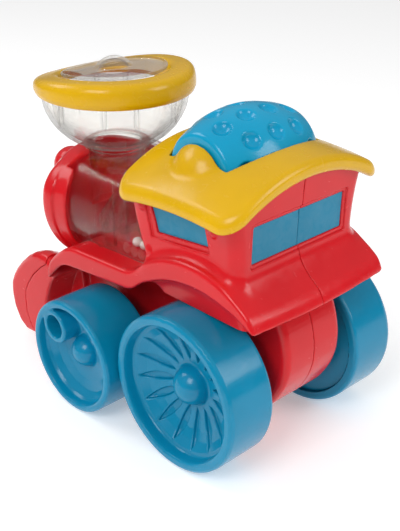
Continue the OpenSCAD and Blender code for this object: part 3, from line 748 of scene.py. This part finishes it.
def lens_field(x, y, z):
    """A clear disc that follows the crest, with a hollow dome in its middle."""
    r = np.hypot(x - CAP_X, y)
    top = under_crest(x, z, 168.1)
    d = smax(smax(top, -(top + 2), 0.5), r - LENS_R, 1.2)
    ball = np.hypot(r, z - 160.1)
    d = smax(d, 10.2 - ball, 0.4)
    dome = smax(smax(ball - 11.7, 10.2 - ball, 0.3), 165 - z, 0.4)
    return smin(d, dome, 1.0)


carve("funnel_lens_disc", lens_field, (75, -30, 157), (135, 30, 173.5), 0.6, "train", CLEAR, ["funnel_lens"])

# ------------------------------------------------------------------ roof


def roof_field(x, y, z):
    """A domed sheet with rounded corners and a half-ball boss at each end of the roller."""
    ay = np.abs(y)
    sheet = np.maximum(under_roof(x, y, z, 0), -under_roof(x, y, z, 8))
    sheet = joined(sheet, box2(x - 7.9, y, 39.6, 52, 11), 3.2)
    ball = np.sqrt((x - ROLL_X) ** 2 + (ay - 23.95) ** 2 + (z - ROLL_Z) ** 2) - 16.55
    ball = smax(ball, 30.6 - ay, 0.6)
    ball = np.maximum(ball, -under_roof(x, y, z, 3))
    d = smin(sheet, ball, 2.6)
    d = smax(d, -roller_room(x, y, z, 0.6), 0.7)
    return np.maximum(d, -np.maximum(across_hole(x, z, ROLL_X, ROLL_Z, 2.4), ay - 37))


carve("roof_shell", roof_field, (-34, -58, 124), (50, 58, 158), 0.7, "train", YELLOW, ["roof"])

# ------------------------------------------------------------------ roller


# Rows of dimples round the roller, and the radius of the ball that makes each
DIMPLE_ROWS, DIMPLE_R = 12, 5.3


def roller_field(x, y, z):
    """A bulging barrel with rows of three and four dimples in turn."""
    u, w = x - ROLL_X, z - ROLL_Z
    r = np.hypot(u, w)
    side = np.hypot(r - (ROLLER_R - ROLLER_CURVE), y) - ROLLER_CURVE
    d = smax(side, np.abs(y) - ROLLER_HALF, 1.6)
    a = np.arctan2(w, u)
    step = 2 * np.pi / DIMPLE_ROWS
    for odd, cols in enumerate([(-15.2, 0, 15.2), (-22.4, -7.6, 7.6, 22.4)]):
        first = math.radians(15) + odd * step
        row = np.round((a - first) / (2 * step)) * 2 * step + first
        for c in cols:
            deep = ROLLER_R - ROLLER_CURVE + math.sqrt(ROLLER_CURVE ** 2 - c * c) + 2.5
            cu, cw = deep * np.cos(row), deep * np.sin(row)
            pit = np.sqrt((u - cu) ** 2 + (w - cw) ** 2 + (y - c) ** 2) - DIMPLE_R
            d = smax(d, -pit, 0.8)
    return np.maximum(d, 2.0 - r)


# The roller wears the lighter copy of the blue, with painted top light.
carve("roller_barrel", roller_field, (-18, -31.5, 112), (39, 31.5, 169), 0.62, "roller_set", ROLLER_LIT_BLUE,
      ["roller"])

# ------------------------------------------------------------------ windows


def pane_side(x, y, z):
    w = cab_half_width(z)
    return smax(outline(x, z, SIDE_GLASS) - 1.6, np.abs(y - (w - 3.1)) - 0.7, 0.4)


carve("window_side_left_pane", pane_side, (-9, 35, 106), (35, 43, 128), 0.6, "train", PANE,
      ["window_side_left"], ("window_side_right_pane", ["window_side_right"]))


def pane_rear(x, y, z):
    return smax(box2(y - 16.05, z - 116.8, 15.95, 10.2, 0.5), np.abs(x - (cab_rear(z) + 2.4)) - 0.7, 0.4)


carve("window_rear_left_pane", pane_rear, (-28, -0.5, 105), (-19, 34, 129), 0.6, "train", PANE,
      ["window_rear_left"], ("window_rear_right_pane", ["window_rear_right"]))

# ------------------------------------------------------------------ wheels

# Leaf-shaped grooves round each rear wheel, and the radius of both wheels' axle holes
LEAVES = 16
BORE_R = 2.02
# Half section of the left rear wheel: (radius, y)
REAR_PROFILE = [(2, 30.6), (6, 30.6), (6, 38.5), (17, 40.4), (25.4, 42.6), (31, 45.4), (35, 48), (35, 30.4),
                (38.4, 30.4), (39.6, 31.0), (40, 32.2), (40, 56.2), (39.5, 57.8), (38.2, 58.6), (35.8, 58.6),
                (34.9, 57.9), (34.6, 56.6), (34.4, 53), (33.8, 52.2), (32.2, 51.6), (28.5, 48.4), (24, 46),
                (18, 44.2), (10, 43.2), (2, 43)]


def leaf(u, v, half_long, half_wide):
    """Where two circles overlap: pointed at both ends of v."""
    a = (half_long ** 2 - half_wide ** 2) / (2 * half_wide)
    big = a + half_wide
    return np.maximum(np.hypot(v, u + a), np.hypot(v, u - a)) - big


def rear_wheel_field(x, y, z):
    """A hollow tyre and a dished face with leaf-shaped grooves round a domed hub."""
    u, w = x, z - REAR_Z
    r = np.hypot(u, w)
    d0 = outline(r, y, REAR_PROFILE)
    dome = smax(np.sqrt(r ** 2 + (y - 43.2) ** 2) - 10.2, 42 - y, 0.5)
    d = smin(d0, dome, 1.6)
    a = np.arctan2(w, u)
    step = 2 * np.pi / LEAVES
    off = a - (np.round(a / step - 0.5) + 0.5) * step
    side, far = r * np.sin(off), r * np.cos(off) - 22.6
    face = np.interp(r, [10, 18, 24, 28.5, 32.2], [43.2, 44.2, 46, 48.4, 51.6])
    cut = joined(leaf(side, far, 9.6, 2.0), (face - 1.9 - y) * 0.9, 0.6)
    d = smax(d, -cut, 0.7)
    return np.maximum(d, -np.maximum(r - BORE_R, y - 47))


carve("rear_wheel_left_tyre", rear_wheel_field, (-41.5, 29, -1.5), (41.5, 60, 81.5), 0.66, "rear_wheelset",
      BLUE, ["rear_wheel_left"], ("rear_wheel_right_tyre", ["rear_wheel_right"]))

# Half section of the left front wheel: (radius, y)
FRONT_PROFILE = [(2, 32.7), (6, 32.7), (6, 49), (15, 50.2), (21.6, 53), (26.4, 56), (26.6, 32.5),
                 (29.4, 32.5), (30.6, 33.1), (31, 34.3), (31, 62), (30.5, 63.38), (29.4, 63.97),
                 (27.9, 63.97), (27.1, 63.38), (26.8, 62.2), (26.5, 59.6), (25.6, 58.2), (22.4, 55.4),
                 (17.5, 53.4), (9, 52.2), (2, 52)]


def front_wheel_field(x, y, z):
    """A hollow tyre and a dished face with a domed hub and an open crank tube beside it."""
    u, w = x - FRONT_X, z - FRONT_Z
    r = np.hypot(u, w)
    d = outline(r, y, FRONT_PROFILE)
    dome = smax(np.sqrt(r ** 2 + (y - 51.6) ** 2) - 8.6, 50 - y, 0.5)
    d = smin(d, dome, 1.4)
    c = np.hypot(u - 12.9, w - 12.9)
    tube = joined(c - 9.2, slab(y, 49.5, 63.3), 1.2)
    d = smin(d, tube, 1.6)
    hole = joined(c - 6.4, 50.2 - y, 1.0)
    d = smax(d, -hole, 0.9)
    return np.maximum(d, -np.maximum(r - BORE_R, y - 54))


carve("front_wheel_left_tyre", front_wheel_field, (FRONT_X - 32.5, 31, -1.5), (FRONT_X + 32.5, 66, 63.5),
      0.6, "front_wheelset", BLUE, ["front_wheel_left"],
      ("front_wheel_right_tyre", ["front_wheel_right"]))


def back_cover(name, at, inner, r, nodes, body):
    """Ribbed discs that close the inner faces of a left and a right wheel."""
    section = [(inner, 6.15), (inner, 9), (inner - 0.1, 9.4), (inner + 0.5, 10), (inner + 0.5, r * 0.62),
               (inner + 0.1, r * 0.62 + 0.7), (inner + 0.1, r * 0.86), (inner + 0.5, r * 0.86 + 0.8),
               (inner + 0.4, r), (inner + 1.8, r), (inner + 1.8, 6.15)]
    v, f = turned(section, 128)
    p = np.stack([v[:, 1] + at[0], v[:, 0], v[:, 2] + at[1]], 1)
    for node, side, s in ((nodes[0], "_left", 1), (nodes[1], "_right", -1)):
        disc = piece(name + side, p * np.array([1, s, 1]), f, body, BLUE, [node], flip=(s < 0))
        edge = disc.modifiers.new("edge", "BEVEL")
        edge.width = 0.0002
        edge.segments = 2
        edge.limit_method = "ANGLE"


back_cover("rear_wheel_cover", (0, REAR_Z), 31.6, 34.9, ("rear_back_left", "rear_back_right"),
           "rear_wheelset")
back_cover("front_wheel_cover", (FRONT_X, FRONT_Z), 33.7, 26.5, ("front_back_left", "front_back_right"),
           "front_wheelset")

# ------------------------------------------------------------------ carried-over CAD pieces

# CAD nodes shown as they are, by material
KEPT = {
    STEEL: ["roof_screws", "body_screws", "roller_shaft", "rear_axle", "front_axle", "idler_shaft",
            "flywheel_shaft", "flywheel"],
    BRASS: ["flywheel_pinion"],
    NYLON: ["axle_gear", "idler_gear"],
    BLACK: ["gearbox_plate_left", "gearbox_plate_right"],
}
for mat, nodes in KEPT.items():
    for node in nodes:
        kept = frame["nodes"][node]
        kept.data.materials.clear()
        kept.data.materials.append(mat)

# ------------------------------------------------------------------ floor, light, camera

# Half the floor's side, in metres like everything below
FLOOR_HALF = 3.0
corners = [(-FLOOR_HALF, -FLOOR_HALF, 0), (FLOOR_HALF, -FLOOR_HALF, 0), (FLOOR_HALF, FLOOR_HALF, 0),
           (-FLOOR_HALF, FLOOR_HALF, 0)]
floor_mesh = bpy.data.meshes.new("floor")
floor_mesh.from_pydata(corners, [], [(0, 1, 2, 3)])
floor = bpy.data.objects.new("floor", floor_mesh)
bpy.context.scene.collection.objects.link(floor)
paper = bpy.data.materials.new("pale_floor")
paper.use_nodes = True
paper_shader = paper.node_tree.nodes["Principled BSDF"]
paper_shader.inputs["Base Color"].default_value = (0.93, 0.93, 0.93, 1)
paper_shader.inputs["Roughness"].default_value = 0.6
paper_shader.inputs["Specular IOR Level"].default_value = 0.2
paper_shader.inputs["Emission Color"].default_value = (1, 1, 1, 1)
paper_shader.inputs["Emission Strength"].default_value = 0.3
floor.data.materials.append(paper)

# What every lamp faces
AIM = Vector((0, 0, 0.08))


def soft_light(name, place, size, power):
    """A rectangular lamp that faces the middle of the train."""
    data = bpy.data.lights.new(name, "AREA")
    data.shape = "RECTANGLE"
    data.size, data.size_y = size
    data.energy = power
    lamp = bpy.data.objects.new(name, data)
    lamp.location = place
    lamp.rotation_mode = "QUATERNION"
    lamp.rotation_quaternion = (AIM - Vector(place)).to_track_quat("-Z", "Y")
    bpy.context.scene.collection.objects.link(lamp)


soft_light("key_left", (-0.25, 0.75, 0.75), (0.45, 0.45), 4.2)
soft_light("back_right", (-0.85, -0.45, 0.6), (0.4, 0.5), 3.2)
soft_light("front_fill", (0.7, 0.35, 0.8), (0.6, 0.4), 3.0)

# The room is grey near the floor and white overhead
world = bpy.data.worlds.new("studio")
world.use_nodes = True
sky = world.node_tree
background = sky.nodes["Background"]
heading = sky.nodes.new("ShaderNodeTexCoord")
parts = sky.nodes.new("ShaderNodeSeparateXYZ")
sky.links.new(heading.outputs["Generated"], parts.inputs["Vector"])
room = shade(sky, parts.outputs["Z"], (0.22, 0.22, 0.23), (1, 1, 1), 0.0, 0.75)
sky.links.new(room, background.inputs["Color"])
background.inputs["Strength"].default_value = 0.6
bpy.context.scene.world = world

cam_data = bpy.data.cameras.new("camera")
cam_data.sensor_width = 36
cam_data.lens = 65.96
cam_data.clip_start, cam_data.clip_end = 0.01, 20
cam = bpy.data.objects.new("camera", cam_data)
heading_angle, down_angle = math.radians(-43.872), math.radians(26.529)
cam.location = ((-284.66 + REAR_X) / 1000, 0.31293, 0.29914)
level = math.cos(down_angle)
look = Vector((level * math.cos(heading_angle), level * math.sin(heading_angle), -math.sin(down_angle)))
cam.rotation_mode = "QUATERNION"
cam.rotation_quaternion = look.to_track_quat("-Z", "Y")
bpy.context.scene.collection.objects.link(cam)
scene = bpy.context.scene
scene.camera = cam
scene.view_settings.view_transform = "Standard"
scene.cycles.max_bounces = 16
scene.cycles.transmission_bounces = 16
scene.cycles.transparent_max_bounces = 48
